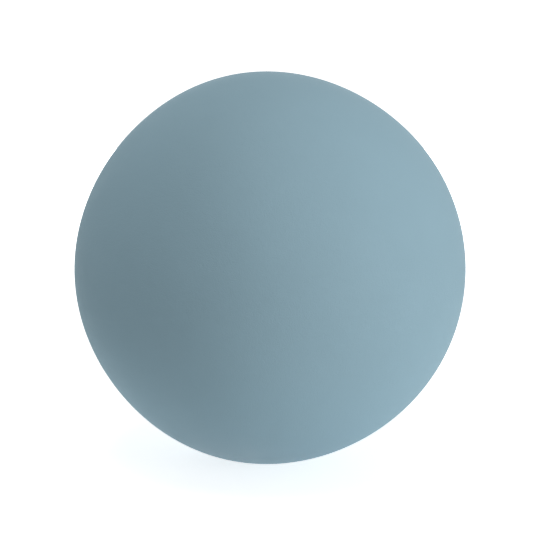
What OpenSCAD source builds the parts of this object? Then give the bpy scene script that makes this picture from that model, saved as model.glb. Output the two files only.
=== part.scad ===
// Soft pilates ball: a one-piece air-filled skin with a flush stopper valve in its back.
// Millimetres, +Z up. The origin is the middle of the flat that the ball rests on,
// and +Y runs out of the ball along the axis of the valve.

/* [Ball] */
// Outer diameter of the inflated ball
ball_d = 200; // [150:1:300]
// Thickness of the cast skin
skin_t = 1.2; // [0.8:0.1:2.5]
// Diameter of the flat that the ball's own weight presses against the floor
rest_d = 36; // [20:1:60]

/* [Boss inside the skin] */
// Diameter of the boss at its flat inner end
boss_d = 24; // [18:0.5:40]
// How much wider the boss is where it runs into the skin
boss_flare = 8; // [0:0.5:20]
// Thickness of boss held between the flange and the collar of the bush
grip_t = 3.4; // [2:0.1:8]

/* [Valve bush] */
// Diameter of the flange that shows in the ball's surface
flange_d = 18; // [16:0.1:30]
// Thickness of the flange under the stopper's head
floor_t = 1.6; // [1:0.1:4]
// Diameter of the stem that passes through the boss
stem_d = 11; // [9:0.1:15]
// Diameter of the collar behind the boss
collar_d = 14; // [12:0.1:18]
// Thickness of the collar
collar_t = 1.6; // [0.8:0.1:4]
// Diameter of the inner end of the tapered tail
tail_d = 9; // [8:0.1:12]
// Length of the tapered tail
tail_len = 6; // [2:0.5:14]
// Diameter of the bore that the stopper closes
bore_d = 6; // [4:0.1:7]
// Chamfer at the mouth of the bore
lead_in = 0.6; // [0.2:0.1:1]
// Chamfer round the flange, round the head's pocket and round the flange's seat in the skin
rim_edge = 0.3; // [0.1:0.05:0.5]

/* [Stopper] */
// Diameter of the head
head_d = 12; // [9:0.1:14]
// Thickness of the head in its middle
head_t = 1.7; // [1.2:0.1:4]
// Chamfer round both edges of the head
head_edge = 0.4; // [0.1:0.05:0.5]
// Length of the shank under the head
shank_len = 14; // [12:0.5:30]
// Number of sealing ribs on the shank
rib_count = 3; // [1:1:3]
// Height of a rib above the shank
rib_h = 0.4; // [0.1:0.05:0.8]
// Length of a rib's full-width land
rib_land = 0.6; // [0.2:0.1:1]
// Length of a rib's ramp on the side that goes in first
rib_ramp = 1.4; // [0.5:0.1:1.8]
// Distance from one rib to the next
rib_pitch = 3; // [2.8:0.1:3.5]
// Distance from the head to the first rib
rib_start = 1.6; // [1:0.1:2]
// Length of the tapered tip
tip_len = 3; // [1:0.1:3.4]
// Diameter of the end of the tip
tip_d = 3.2; // [1:0.1:3.4]

/* [Clearances] */
// Depth of the head's crown under the ball's surface
flush_drop = 0.3; // [0:0.05:1]
// Gap round the head, where a fingernail gets under its edge
head_gap = 0.5; // [0.3:0.05:1]
// Gap between a rib and the bore
bore_gap = 0.05; // [0.01:0.01:0.1]
// Gap between the bush and the boss that it is bonded into
bond_gap = 0.05; // [0.01:0.01:0.1]

/* [Hidden] */
$fn = 128;

skin_colour = "#93B1BE";
bush_colour = "#7F9DAB";
plug_colour = "#E4E8E8";

ball_r = ball_d / 2;
// Height of the ball's centre above the flat that it rests on
centre_z = sqrt(pow(ball_r, 2) - pow(rest_d / 2, 2));
// What a cut runs past the face that it opens
overrun = 1;

// Distances from the ball's centre along the valve, from the surface inwards
seat_z = ball_r - flush_drop - head_t;
flange_z = seat_z - floor_t;
boss_z = flange_z - grip_t;
collar_z = boss_z - collar_t;
tail_z = collar_z - tail_len;
tip_z = seat_z - shank_len;

flange_r = flange_d / 2;
flange_seat_r = flange_r + bond_gap;
stem_r = stem_d / 2;
bore_r = bore_d / 2;
head_r = head_d / 2;
pocket_r = head_r + head_gap;
// Middle of the flange's rim, between its edge and the pocket
rim_r = (flange_r + pocket_r) / 2;
rib_r = bore_r - bore_gap;
shank_r = rib_r - rib_h;
// Radius of the crown of the stopper's head, which follows the ball
crown_r = ball_r - flush_drop;

// Height at which a 45 degree chamfer leaves its wall, to meet a ball at end_r from the valve's axis
function chamfer_z(sphere_r, end_r, edge) = sqrt(pow(sphere_r, 2) - pow(end_r, 2)) - edge;

flange_edge_z = chamfer_z(ball_r, flange_r - rim_edge, rim_edge);
pocket_edge_z = chamfer_z(ball_r, pocket_r + rim_edge, rim_edge);
flange_seat_edge_z = chamfer_z(ball_r, flange_seat_r + rim_edge, rim_edge);
crown_edge_z = chamfer_z(crown_r, head_r - head_edge, head_edge);

// Turns a shape drawn on +Z about the ball's centre to face out along the valve
module along_valve() translate([0, 0, centre_z]) rotate([-90, 0, 0]) children();

// A ball about the skin's own centre, cut flat at a height above the floor
module flattened_ball(r, floor_z) {
    difference() {
        translate([0, 0, centre_z]) sphere(r);
        translate([-ball_d, -ball_d, floor_z - ball_d]) cube([2 * ball_d, 2 * ball_d, ball_d]);
    }
}

// Thick pad inside the skin that carries the bush
module boss() {
    intersection() {
        along_valve()
            translate([0, 0, boss_z])
                cylinder(h = ball_r - boss_z, d1 = boss_d, d2 = boss_d + boss_flare);
        flattened_ball(ball_r - skin_t / 2, skin_t / 2);
    }
}

// Space for the flange and the stem of the bush
module bush_seat() {
    along_valve() {
        translate([0, 0, flange_z])
            cylinder(h = ball_r - flange_z + overrun, r = flange_seat_r);
        translate([0, 0, flange_seat_edge_z])
            cylinder(h = overrun, r1 = flange_seat_r, r2 = flange_seat_r + overrun);
        translate([0, 0, boss_z - overrun])
            cylinder(h = ball_r - boss_z, r = stem_r + bond_gap);
    }
}

module ball_skin() {
    color(skin_colour)
        difference() {
            union() {
                difference() {
                    flattened_ball(ball_r, 0);
                    flattened_ball(ball_r - skin_t, skin_t);
                }
                boss();
            }
            bush_seat();
        }
}

// Half section of the bush. Its outer face follows the ball, which trims the peak between the rim's chamfers
module bush_section() {
    intersection() {
        polygon([
            [bore_r, tail_z],
            [tail_d / 2, tail_z],
            [collar_d / 2, collar_z],
            [collar_d / 2, boss_z],
            [stem_r, boss_z],
            [stem_r, flange_z],
            [flange_r, flange_z],
            [flange_r, flange_edge_z],
            [rim_r, flange_edge_z + flange_r - rim_r],
            [rim_r, pocket_edge_z + rim_r - pocket_r],
            [pocket_r, pocket_edge_z],
            [pocket_r, seat_z],
            [bore_r + lead_in, seat_z],
            [bore_r, seat_z - lead_in]
        ]);
        circle(ball_r);
    }
}

module valve_bush() {
    color(bush_colour) along_valve() rotate_extrude() bush_section();
}

// One rib of the shank, from its square face on the head's side down its ramp
function rib_points(top_z) = [
    [shank_r, top_z],
    [rib_r, top_z],
    [rib_r, top_z - rib_land],
    [shank_r, top_z - rib_land - rib_ramp]
];

// Half section of the stopper, with its head, its ribbed shank and its tapered tip
module plug_section() {
    ribs = [for (i = [0 : rib_count - 1]) each rib_points(seat_z - rib_start - i * rib_pitch)];
    intersection() {
        polygon(concat(
            [
                [0, crown_edge_z + head_r],
                [head_r, crown_edge_z],
                [head_r, seat_z + head_edge],
                [head_r - head_edge, seat_z],
                [shank_r, seat_z]
            ],
            ribs,
            [
                [shank_r, tip_z + tip_len],
                [tip_d / 2, tip_z],
                [0, tip_z]
            ]
        ));
        circle(crown_r);
    }
}

module valve_plug() {
    color(plug_colour) along_valve() rotate_extrude() plug_section();
}

ball_skin();
valve_bush();
valve_plug();
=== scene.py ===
# Looks of the soft pilates ball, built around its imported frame.
# Metres, +Z up, +Y out of the ball along its valve. The photographed side faces -Y.
import math

import bmesh
import bpy
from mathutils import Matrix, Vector


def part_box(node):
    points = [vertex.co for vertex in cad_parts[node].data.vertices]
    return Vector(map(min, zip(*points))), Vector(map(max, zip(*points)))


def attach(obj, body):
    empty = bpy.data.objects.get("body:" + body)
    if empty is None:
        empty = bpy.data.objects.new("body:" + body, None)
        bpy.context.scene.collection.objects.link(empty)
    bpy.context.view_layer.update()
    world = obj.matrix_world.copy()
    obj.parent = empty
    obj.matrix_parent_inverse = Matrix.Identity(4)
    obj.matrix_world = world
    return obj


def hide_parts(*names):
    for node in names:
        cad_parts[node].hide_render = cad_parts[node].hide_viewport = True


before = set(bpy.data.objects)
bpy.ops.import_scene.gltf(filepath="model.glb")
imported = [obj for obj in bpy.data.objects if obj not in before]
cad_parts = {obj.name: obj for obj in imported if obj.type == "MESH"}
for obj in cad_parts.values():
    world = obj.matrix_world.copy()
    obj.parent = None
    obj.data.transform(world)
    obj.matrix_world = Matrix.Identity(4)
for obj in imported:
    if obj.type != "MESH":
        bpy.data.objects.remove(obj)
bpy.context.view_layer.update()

MM = 0.001

# Ball, from the frame, and the thickness of its skin
skin_low, skin_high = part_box("ball_skin")
BALL_R = (skin_high.x - skin_low.x) / 2
CENTRE = Vector((0, 0, skin_high.z - BALL_R))
SKIN_T = 1.2 * MM

# Thicknesses along the valve: the stopper's head, the flange under it, the boss, and the collar behind that
HEAD_T = 1.7 * MM
FLANGE_T = 1.6 * MM
BOSS_T = 3.4 * MM
COLLAR_T = 1.6 * MM

# Valve, from the frame: radii, and reaches along it from the ball's centre
bush_low, bush_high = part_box("valve_bush")
plug_low, plug_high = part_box("valve_plug")
FLANGE_R = (bush_high.x - bush_low.x) / 2
HEAD_R = (plug_high.x - plug_low.x) / 2
TAIL_END = bush_low.y
TIP_END = plug_low.y
CROWN = plug_high.y
POCKET_FLOOR = CROWN - HEAD_T
FLANGE_BACK = POCKET_FLOOR - FLANGE_T
BOSS_BACK = FLANGE_BACK - BOSS_T
COLLAR_BACK = BOSS_BACK - COLLAR_T

# Boss inside the skin, and the gap between it and the bush that is bonded into it
BOSS_END_R = 12 * MM
BOSS_FOOT_R = 15.2 * MM
BOND_GAP = 0.05 * MM

# Bush
POCKET_R = 6.5 * MM
STEM_R = 5.5 * MM
COLLAR_R = 7.0 * MM
TAIL_R = 4.5 * MM
BORE_R = 3.0 * MM
LEAD_IN = 0.6 * MM

# Stopper, with the mark of the mould's gate in its head
SHANK_R = 2.55 * MM
RIB_R = 2.95 * MM
RIB_COUNT = 3
RIB_START = 1.6 * MM
RIB_PITCH = 3.0 * MM
RIB_LAND = 0.6 * MM
RIB_RAMP = 1.4 * MM
TIP_LEN = 3.0 * MM
TIP_R = 1.6 * MM
GATE_R = 0.9 * MM
GATE_DEPTH = 0.12 * MM

# How far from a corner its rounding starts
RIM_EASE = 0.6 * MM
HEAD_EASE = 0.5 * MM
EDGE_EASE = 0.3 * MM
RIB_EASE = 0.15 * MM
GATE_EASE = 0.05 * MM

# Form of the inflated skin: bend into the floor, and the mould line's ridge within a band of close rings
FLOOR_BLEND = 0.6 * MM
PARTING_H = 0.08 * MM
PARTING_HALF_W = 0.45 * MM
PARTING_BAND_HALF_W = 0.9 * MM
# Out of round: lobes to a turn, height, and the direction of one crest, up from the right in the photo
LOBES = (
    (2, 0.2 * MM, math.radians(85)),
    (3, 0.3 * MM, math.radians(-10)),
    (4, 0.3 * MM, math.radians(90)),
    (5, 0.2 * MM, math.radians(35)),
)

# Facets to a quarter turn, across the mould line's band and round a corner, and the angle of a sharp edge
QUARTER = 48
PARTING_STEPS = 12
CORNER_STEPS = 5
SHARP_ANGLE = math.radians(35)
# Reach of the grid that closes the front, as an angle from its middle
CAP_ANGLE = math.radians(45)

# Flat map to bake the skin's finish through: middle and radius of a disc for each face and half of the skin
FLAT_MAP = "OFBake"
FLAT_DISCS = {
    ("outside", "front"): (Vector((0.29, 0.29)), 0.28),
    ("outside", "back"): (Vector((0.71, 0.71)), 0.28),
    ("inside", "front"): (Vector((0.13, 0.87)), 0.12),
    ("inside", "back"): (Vector((0.87, 0.13)), 0.12),
}

# Finishes: what brings a cloudy pattern, which keeps near its middle, up to a full swing
FULL_SWING = 4
# Pips' share of the grain's height, and how many times wider the hollows under them are
PIP_SHARE = 0.6
HOLLOW_WIDTH = 5
# Kinds of socket
PLACE = "NodeSocketVector"
COLOUR = "NodeSocketColor"
VALUE = "NodeSocketFloat"

# Photo's frame, and the ball's middle and radius in it
FRAME_PX = 540
BALL_X_PX = 269.9
BALL_Y_PX = 268.05
BALL_R_PX = 195.5

# Camera, with the width of its sensor in millimetres
CAMERA_DISTANCE = 0.9
CAMERA_ELEVATION = math.radians(11)
SENSOR_WIDTH = 36.0

# Soft boxes all round the ball: degrees from the camera to the right, degrees up, and watts
SOFT_BOX_SIZE = 0.7
SOFT_BOX_DISTANCE = 1.3
SOFT_BOXES = {
    "key_right": (60, 0, 7.4),
    "top": (-15, 80, 5.5),
    "under_back": (-165, -60, 5.1),
    "back": (180, 0, 5.5),
}

# Surround: its colour, its light on the ball, and its level where it is seen
WHITE = (1, 1, 1, 1)
SURROUND_LIGHT = 0.31
SURROUND_SHOWN = 1.0

# Floor, and its glow where it is seen: by the ball, where the shadow shows, and further out
FLOOR_SIZE = 12.0
FLOOR_COLOUR = (0.9, 0.9, 0.9, 1)
NEAR_DISTANCE = 0.15
NEAR_GLOW = 0.7
FAR_DISTANCE = 0.8
FAR_GLOW = 1.0


# Forms of the skin and the valve

def direction(polar, turn):
    """Unit vector at an angle from the valve and a turn round it, from +X towards +Z."""
    return Vector((
        math.sin(polar) * math.cos(turn),
        math.cos(polar),
        math.sin(polar) * math.sin(turn),
    ))


def out_of_round(toward):
    """How far the skin stands out of the true ball: low lobes that fade towards valve and front."""
    turn = math.atan2(toward.z, toward.x)
    lobes = sum(height * math.cos(count * (turn - crest)) for count, height, crest in LOBES)
    return lobes * (1 - toward.y ** 2)


def parting_ridge(toward):
    """Height of the faint line where the two halves of the mould met."""
    across = toward.y * BALL_R / PARTING_HALF_W
    return PARTING_H * (1 - across ** 2) ** 2 if abs(across) < 1 else 0.0


def rest_flat(z, floor):
    """Height of the skin where it rests: it bends smoothly into the floor."""
    blend = max(FLOOR_BLEND - abs(z - floor), 0) / FLOOR_BLEND
    return max(z, floor) + blend ** 2 * FLOOR_BLEND / 4


def outer_skin(polar, turn):
    """Point on the skin's outer face."""
    toward = direction(polar, turn)
    place = CENTRE + toward * (BALL_R + out_of_round(toward) + parting_ridge(toward))
    place.z = rest_flat(place.z, 0)
    return place


def inner_skin(polar, turn):
    """Point on the skin's inner face."""
    toward = direction(polar, turn)
    place = CENTRE + toward * (BALL_R - SKIN_T + out_of_round(toward))
    place.z = rest_flat(place.z, SKIN_T)
    return place


def valve_point(radius, reach, turn):
    """Point at a radius from the valve's axis, and a reach along it from the ball's centre."""
    return CENTRE + Vector((radius * math.cos(turn), reach, radius * math.sin(turn)))


def ball_reach(ball_r, radius):
    """Reach along the valve of a ball's surface at a radius from the valve's axis."""
    return math.sqrt(ball_r ** 2 - radius ** 2)


def even(first, last, count):
    """Evenly spaced values from first to last, count + 1 of them."""
    return [first + (last - first) * i / count for i in range(count + 1)]


def rounded(corners):
    """Half section through corners, each a radius, a reach and how far from it its rounding starts."""
    outline = []
    for i, (radius, reach, ease) in enumerate(corners):
        corner = Vector((radius, reach))
        if not ease:
            outline.append(corner)
            continue
        before = Vector(corners[i - 1][:2])
        after = Vector(corners[(i + 1) % len(corners)][:2])
        start = corner + (before - corner).normalized() * ease
        end = corner + (after - corner).normalized() * ease
        for t in even(0, 1, CORNER_STEPS):
            outline.append(start.lerp(corner, t).lerp(corner.lerp(end, t), t))
    return outline


# Meshes of rings round the valve's axis

# Turns of a ring's points, from a corner of the grid that closes the front
TURNS = even(-math.pi / 4, 2 * math.pi - math.pi / 4, 4 * QUARTER)[:-1]


def add_ring(bm, place, *where):
    """Ring of points, each at the place that a function gives for its turn."""
    return [bm.verts.new(place(*where, turn)) for turn in TURNS]


def join_rings(bm, first, second):
    """Band of faces between two rings."""
    for i in range(len(first)):
        bm.faces.new((first[i - 1], first[i], second[i], second[i - 1]))


def close_ring(bm, ring, reach):
    """Fan of faces from a ring to a point on the valve's axis."""
    middle = bm.verts.new(valve_point(0, reach, 0))
    for i in range(len(ring)):
        bm.faces.new((ring[i - 1], ring[i], middle))


def add_front_cap(bm, place):
    """Grid of quads, bent from a square to a disc, that closes the front. Gives back its rim as a ring."""
    angles = even(-math.pi / 4, math.pi / 4, QUARTER)
    grid = {}
    for i, across in enumerate(angles):
        for j, up in enumerate(angles):
            x = math.sqrt(2) * math.sin(across) * math.cos(up)
            z = math.sqrt(2) * math.sin(up) * math.cos(across)
            polar = math.pi - CAP_ANGLE * math.hypot(x, z)
            grid[i, j] = bm.verts.new(place(polar, math.atan2(z, x)))
    side = range(QUARTER)
    for i in side:
        for j in side:
            bm.faces.new((grid[i, j], grid[i + 1, j], grid[i + 1, j + 1], grid[i, j + 1]))
    return (
        [grid[QUARTER, j] for j in side]
        + [grid[QUARTER - i, QUARTER] for i in side]
        + [grid[0, QUARTER - j] for j in side]
        + [grid[i, 0] for i in side]
    )


def add_object(name, data):
    """Object of some data, put in the scene."""
    added = bpy.data.objects.new(name, data)
    bpy.context.scene.collection.objects.link(added)
    return added


def finish_mesh(bm, name):
    """Object with smooth faces and sharp corners, made from a closed surface."""
    bmesh.ops.recalc_face_normals(bm, faces=bm.faces)
    for face in bm.faces:
        face.smooth = True
    mesh = bpy.data.meshes.new(name)
    bm.to_mesh(mesh)
    bm.free()
    mesh.set_sharp_from_angle(angle=SHARP_ANGLE)
    return add_object(name, mesh)


def disc_place(out, half, middle, radius):
    """Place on a disc of a way out from the ball's centre: the mould line lies along the disc's edge."""
    side = 1 if half == "back" else -1
    polar = math.atan2(math.hypot(out.x, out.z), out.y * side)
    turn = math.atan2(out.z, -out.x * side)
    return middle + Vector((math.cos(turn), math.sin(turn))) * radius * polar / (math.pi / 2)


def lay_flat(mesh):
    """Flat map of the skin in discs that meet along the mould line."""
    flat = mesh.uv_layers.new(name=FLAT_MAP).uv
    for face in mesh.polygons:
        out = face.center - CENTRE
        wall = "outside" if face.normal.dot(out) > 0 else "inside"
        half = "front" if out.y < 0 else "back"
        for corner in face.loop_indices:
            vertex = mesh.vertices[mesh.loops[corner].vertex_index]
            flat[corner].vector = disc_place(vertex.co - CENTRE, half, *FLAT_DISCS[wall, half])


# Pieces

def build_ball_skin():
    """Closed skin: outer face, seat of the bush, boss, and inner face."""
    bm = bmesh.new()
    seat_r = FLANGE_R + BOND_GAP
    hole_r = STEM_R + BOND_GAP
    inner_r = BALL_R - SKIN_T
    lip_r = seat_r + RIM_EASE
    half_band = PARTING_BAND_HALF_W / BALL_R
    front_steps = QUARTER // 2

    outer_polars = (
        even(math.pi - CAP_ANGLE, math.pi / 2 + half_band, front_steps)[1:-1]
        + even(math.pi / 2 + half_band, math.pi / 2 - half_band, PARTING_STEPS)
        + even(math.pi / 2 - half_band, math.asin(lip_r / BALL_R), QUARTER)[1:-1]
    )
    seat = rounded([
        (lip_r, ball_reach(BALL_R, lip_r), 0),
        (seat_r, ball_reach(BALL_R, seat_r), RIM_EASE),
        (seat_r, FLANGE_BACK, 0),
        (hole_r, FLANGE_BACK, 0),
        (hole_r, BOSS_BACK, 0),
        (BOSS_END_R, BOSS_BACK, EDGE_EASE),
        (BOSS_FOOT_R, ball_reach(inner_r, BOSS_FOOT_R), 0),
    ])
    foot_polar = math.asin(BOSS_FOOT_R / inner_r)
    inner_polars = even(foot_polar, math.pi - CAP_ANGLE, QUARTER + front_steps)[1:-1]

    rings = [add_front_cap(bm, outer_skin)]
    rings += [add_ring(bm, outer_skin, polar) for polar in outer_polars]
    rings += [add_ring(bm, valve_point, *point) for point in seat]
    rings += [add_ring(bm, inner_skin, polar) for polar in inner_polars]
    rings.append(add_front_cap(bm, inner_skin))
    for first, second in zip(rings, rings[1:]):
        join_rings(bm, first, second)
    piece = finish_mesh(bm, "soft_skin")
    lay_flat(piece.data)
    return piece


def build_valve_bush():
    """Insert in the boss: flange with the head's pocket, stem, collar and tapered tail round the bore."""
    bm = bmesh.new()
    outline = rounded([
        (BORE_R, TAIL_END, EDGE_EASE),
        (TAIL_R, TAIL_END, EDGE_EASE),
        (COLLAR_R, COLLAR_BACK, EDGE_EASE),
        (COLLAR_R, BOSS_BACK, 0),
        (STEM_R, BOSS_BACK, 0),
        (STEM_R, FLANGE_BACK, 0),
        (FLANGE_R, FLANGE_BACK, EDGE_EASE),
        (FLANGE_R, ball_reach(BALL_R, FLANGE_R), RIM_EASE),
        (POCKET_R, ball_reach(BALL_R, POCKET_R), RIM_EASE),
        (POCKET_R, POCKET_FLOOR, EDGE_EASE),
        (BORE_R + LEAD_IN, POCKET_FLOOR, RIB_EASE),
        (BORE_R, POCKET_FLOOR - LEAD_IN, RIB_EASE),
    ])
    rings = [add_ring(bm, valve_point, *point) for point in outline]
    for i in range(len(rings)):
        join_rings(bm, rings[i - 1], rings[i])
    return finish_mesh(bm, "bonded_bush")


def rib_corners(top):
    """One rib of the shank: square on the head's side, with a ramp on the side that goes in first."""
    return [
        (SHANK_R, top, 0),
        (RIB_R, top, RIB_EASE),
        (RIB_R, top - RIB_LAND, RIB_EASE),
        (SHANK_R, top - RIB_LAND - RIB_RAMP, RIB_EASE),
    ]


def build_valve_plug():
    """Stopper: crowned head with the mark of the mould's gate, ribbed shank and tapered tip."""
    bm = bmesh.new()
    ribs = [
        corner
        for i in range(RIB_COUNT)
        for corner in rib_corners(POCKET_FLOOR - RIB_START - i * RIB_PITCH)
    ]
    outline = rounded([
        (GATE_R - GATE_DEPTH, CROWN - GATE_DEPTH, 0),
        (GATE_R, ball_reach(CROWN, GATE_R), GATE_EASE),
        (HEAD_R, ball_reach(CROWN, HEAD_R), HEAD_EASE),
        (HEAD_R, POCKET_FLOOR, HEAD_EASE),
        (SHANK_R, POCKET_FLOOR, EDGE_EASE),
        *ribs,
        (SHANK_R, TIP_END + TIP_LEN, EDGE_EASE),
        (TIP_R, TIP_END, EDGE_EASE),
        (TIP_R / 2, TIP_END, 0),
    ])
    rings = [add_ring(bm, valve_point, *point) for point in outline]
    for first, second in zip(rings, rings[1:]):
        join_rings(bm, first, second)
    close_ring(bm, rings[0], CROWN - GATE_DEPTH)
    close_ring(bm, rings[-1], TIP_END)
    return finish_mesh(bm, "ribbed_stopper")


# Effects that the finishes share

def feed(tree, node, values):
    """Gives a node's inputs their values, each a socket to link or a plain value."""
    for name, value in values.items():
        if isinstance(value, bpy.types.NodeSocket):
            tree.links.new(value, node.inputs[name])
        else:
            node.inputs[name].default_value = value


def new_group(name, inputs, output):
    """Shader node group with named sockets. Gives back its tree, its inputs and its node for the result."""
    tree = bpy.data.node_groups.new(name, "ShaderNodeTree")
    for in_out, sockets in (("INPUT", inputs), ("OUTPUT", output)):
        for socket, kind in sockets.items():
            tree.interface.new_socket(socket, in_out=in_out, socket_type=kind)
    return tree, tree.nodes.new("NodeGroupInput").outputs, tree.nodes.new("NodeGroupOutput")


def add_math(tree, operation, first, second):
    """Result of an operation on two values, each a socket or a number."""
    node = tree.nodes.new("ShaderNodeMath")
    node.operation = operation
    feed(tree, node, {0: first, 1: second})
    return node.outputs["Value"]


def add_noise(tree, place, size, detail, distortion=0.0):
    """Cloudy pattern from 0 to 1 with marks of about a size in metres."""
    noise = tree.nodes.new("ShaderNodeTexNoise")
    feed(tree, noise, {
        "Vector": place,
        "Scale": add_math(tree, "DIVIDE", 1.0, size),
        "Detail": detail,
        "Distortion": distortion,
    })
    return noise.outputs["Fac"]


def add_swing(tree, pattern, spread):
    """Pattern from 0 to 1 as a swing about 0, out to about the spread on both sides."""
    centred = add_math(tree, "SUBTRACT", pattern, 0.5)
    full = add_math(tree, "MULTIPLY", centred, FULL_SWING)
    return add_math(tree, "MULTIPLY", full, spread)


def moulded_grain():
    """Height of the fine grain that a blasted mould leaves: pips over softer hollows."""
    inputs = {"Place": PLACE, "Pip Size": VALUE}
    tree, given, result = new_group("moulded_grain", inputs, {"Height": VALUE})
    hollow_size = add_math(tree, "MULTIPLY", given["Pip Size"], HOLLOW_WIDTH)
    pips = add_noise(tree, given["Place"], given["Pip Size"], detail=1.0)
    hollows = add_noise(tree, given["Place"], hollow_size, detail=2.0)
    pip_height = add_math(tree, "MULTIPLY", pips, PIP_SHARE)
    hollow_height = add_math(tree, "MULTIPLY", hollows, 1 - PIP_SHARE)
    feed(tree, result, {"Height": add_math(tree, "ADD", pip_height, hollow_height)})
    return tree


def tone_drift():
    """Colour that drifts a little lighter and darker, as pigment does in a casting."""
    inputs = {"Place": PLACE, "Colour": COLOUR, "Patch Size": VALUE, "Spread": VALUE}
    tree, given, result = new_group("tone_drift", inputs, {"Colour": COLOUR})
    clouds = add_noise(tree, given["Place"], given["Patch Size"], detail=3.0)
    swing = add_swing(tree, clouds, given["Spread"])
    scaled = tree.nodes.new("ShaderNodeVectorMath")
    scaled.operation = "SCALE"
    feed(tree, scaled, {"Vector": given["Colour"], "Scale": add_math(tree, "ADD", swing, 1.0)})
    feed(tree, result, {"Colour": scaled.outputs["Vector"]})
    return tree


def handling_film():
    """Roughness that varies where hands have rubbed the surface or left it dull."""
    inputs = {"Place": PLACE, "Roughness": VALUE, "Patch Size": VALUE, "Spread": VALUE}
    tree, given, result = new_group("handling_film", inputs, {"Roughness": VALUE})
    smears = add_noise(tree, given["Place"], given["Patch Size"], detail=4.0, distortion=0.8)
    swing = add_swing(tree, smears, given["Spread"])
    feed(tree, result, {"Roughness": add_math(tree, "ADD", given["Roughness"], swing)})
    return tree


MOULDED_GRAIN = moulded_grain()
TONE_DRIFT = tone_drift()
HANDLING_FILM = handling_film()


# Finishes of the pieces

def place_group(tree, group, values):
    """Result of a shared group placed in a material, with its values."""
    node = tree.nodes.new("ShaderNodeGroup")
    node.node_tree = group
    feed(tree, node, values)
    return node.outputs[0]


def moulded_material(name, colour, drift, film, grain, body):
    """Moulded finish from the shared groups, with the values of its body set on the shader itself."""
    made = bpy.data.materials.new(name)
    made.use_nodes = True
    tree = made.node_tree
    place = tree.nodes.new("ShaderNodeTexCoord").outputs["Object"]
    bump = tree.nodes.new("ShaderNodeBump")
    feed(tree, bump, {
        "Height": place_group(tree, MOULDED_GRAIN, {"Place": place, "Pip Size": grain["Pip Size"]}),
        "Distance": grain["Pip Height"],
    })
    feed(tree, tree.nodes["Principled BSDF"], {
        "Base Color": place_group(tree, TONE_DRIFT, {"Place": place, "Colour": (*colour, 1), **drift}),
        "Roughness": place_group(tree, HANDLING_FILM, {"Place": place, **film}),
        "Normal": bump.outputs["Normal"],
        **body,
    })
    return made


def soft_vinyl():
    """Dusty blue cast skin with a dry, matte touch."""
    return moulded_material(
        "soft_vinyl",
        (0.304, 0.460, 0.540),
        drift={"Patch Size": 45 * MM, "Spread": 0.015},
        film={"Roughness": 0.75, "Patch Size": 28 * MM, "Spread": 0.05},
        grain={"Pip Size": 0.5 * MM, "Pip Height": 0.18 * MM},
        body={"Specular IOR Level": 0.22},
    )


def bush_vinyl():
    """Same vinyl for the insert, a shade deeper and a little smoother from a polished mould."""
    return moulded_material(
        "bush_vinyl",
        (0.235, 0.372, 0.442),
        drift={"Patch Size": 6 * MM, "Spread": 0.03},
        film={"Roughness": 0.46, "Patch Size": 4 * MM, "Spread": 0.06},
        grain={"Pip Size": 0.25 * MM, "Pip Height": 0.05 * MM},
        body={"Specular IOR Level": 0.5},
    )


def milky_plastic():
    """Soft white plastic of the stopper, which lets a little light in."""
    return moulded_material(
        "milky_plastic",
        (0.74, 0.77, 0.77),
        drift={"Patch Size": 5 * MM, "Spread": 0.015},
        film={"Roughness": 0.42, "Patch Size": 3 * MM, "Spread": 0.07},
        grain={"Pip Size": 0.2 * MM, "Pip Height": 0.03 * MM},
        body={
            "Subsurface Weight": 0.25,
            "Subsurface Radius": (1.0, 1.0, 0.9),
            "Subsurface Scale": 0.8 * MM,
        },
    )


def dress(piece, material, body, node):
    """Piece with its material, riding on a body in place of its CAD node."""
    piece.data.materials.append(material)
    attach(piece, body)
    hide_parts(node)


# Camera, light and floor

def stand(thing, place, turned):
    """Puts the camera or a lamp at a place, turned by a quaternion."""
    thing.location = place
    thing.rotation_mode = "QUATERNION"
    thing.rotation_quaternion = turned


def build_camera():
    """Camera on the photographed side, aimed so that the ball lies where it lies in the photo."""
    focal_px = BALL_R_PX / math.tan(math.asin(BALL_R / CAMERA_DISTANCE))
    data = bpy.data.cameras.new("camera")
    data.sensor_width = SENSOR_WIDTH
    data.lens = focal_px * SENSOR_WIDTH / FRAME_PX

    back = Vector((0, -math.cos(CAMERA_ELEVATION), math.sin(CAMERA_ELEVATION)))
    turned = (-back).to_track_quat("-Z", "Y")
    right_px = FRAME_PX / 2 - BALL_X_PX
    up_px = BALL_Y_PX - FRAME_PX / 2
    off_axis = Vector((right_px, up_px, 0)) * (CAMERA_DISTANCE / focal_px)
    camera = add_object("camera", data)
    stand(camera, CENTRE + back * CAMERA_DISTANCE + turned @ off_axis, turned)
    bpy.context.scene.camera = camera


def build_soft_box(name, right, up, power):
    """Square lamp that faces the ball and isn't seen itself."""
    data = bpy.data.lights.new(name, "AREA")
    data.size = SOFT_BOX_SIZE
    data.energy = power
    turn, height = math.radians(right), math.radians(up)
    away = Vector((
        math.sin(turn) * math.cos(height),
        -math.cos(turn) * math.cos(height),
        math.sin(height),
    ))
    lamp = add_object(name, data)
    stand(lamp, CENTRE + away * SOFT_BOX_DISTANCE, away.to_track_quat("Z", "Y"))
    lamp.visible_camera = False


def background_level(tree, lit, shown):
    """Strength that lights the ball at one level and shows, seen or mirrored, at another."""
    path = tree.nodes.new("ShaderNodeLightPath")
    seen = path.outputs["Is Camera Ray"]
    for ray in ("Is Glossy Ray", "Is Transmission Ray"):
        seen = add_math(tree, "MAXIMUM", seen, path.outputs[ray])
    level = tree.nodes.new("ShaderNodeMapRange")
    feed(tree, level, {"Value": seen, "To Min": lit, "To Max": shown})
    return level.outputs["Result"]


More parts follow.
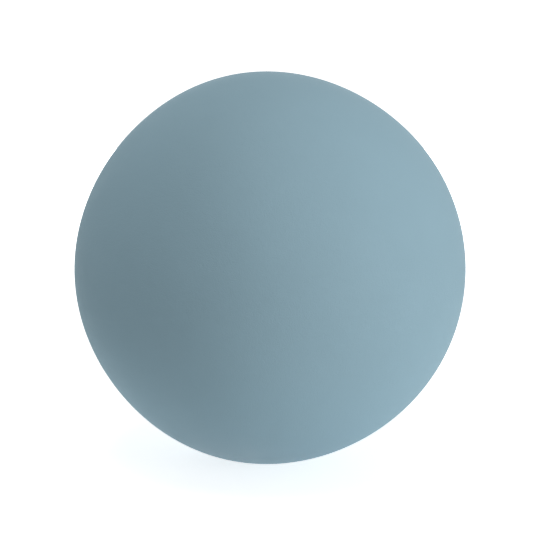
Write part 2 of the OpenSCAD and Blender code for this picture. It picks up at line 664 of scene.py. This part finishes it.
def build_world():
    """White surround, which lights the ball evenly."""
    world = bpy.data.worlds.new("studio")
    world.use_nodes = True
    tree = world.node_tree
    feed(tree, tree.nodes["Background"], {
        "Color": WHITE,
        "Strength": background_level(tree, SURROUND_LIGHT, SURROUND_SHOWN),
    })
    bpy.context.scene.world = world


def floor_glow(tree):
    """Glow of the floor, which rises with the distance from the ball."""
    place = tree.nodes.new("ShaderNodeTexCoord").outputs["Object"]
    distance = tree.nodes.new("ShaderNodeVectorMath")
    distance.operation = "LENGTH"
    feed(tree, distance, {"Vector": place})
    rise = tree.nodes.new("ShaderNodeMapRange")
    rise.interpolation_type = "SMOOTHSTEP"
    feed(tree, rise, {
        "Value": distance.outputs["Value"],
        "From Min": NEAR_DISTANCE,
        "From Max": FAR_DISTANCE,
        "To Min": NEAR_GLOW,
        "To Max": FAR_GLOW,
    })
    return rise.outputs["Result"]


def white_floor():
    """Matte white that takes the ball's shadow, with a glow that is no lamp."""
    made = bpy.data.materials.new("white_floor")
    made.use_nodes = True
    made.cycles.emission_sampling = "NONE"
    tree = made.node_tree
    feed(tree, tree.nodes["Principled BSDF"], {
        "Base Color": FLOOR_COLOUR,
        "Roughness": 1.0,
        "Specular IOR Level": 0.0,
        "Emission Color": WHITE,
        "Emission Strength": background_level(tree, lit=0.0, shown=floor_glow(tree)),
    })
    return made


def build_floor():
    """White table, which lets light from under it through."""
    half = FLOOR_SIZE / 2
    corners = [(-half, -half, 0), (half, -half, 0), (half, half, 0), (-half, half, 0)]
    mesh = bpy.data.meshes.new("floor")
    mesh.from_pydata(corners, [], [(0, 1, 2, 3)])
    mesh.materials.append(white_floor())
    floor = add_object("floor", mesh)
    floor.visible_shadow = False


# Scene

bpy.context.scene.view_settings.view_transform = "Standard"
build_camera()
build_world()
build_floor()
for lamp_name, lamp_values in SOFT_BOXES.items():
    build_soft_box(lamp_name, *lamp_values)

dress(build_ball_skin(), soft_vinyl(), "ball", "ball_skin")
dress(build_valve_bush(), bush_vinyl(), "ball", "valve_bush")
dress(build_valve_plug(), milky_plastic(), "plug", "valve_plug")
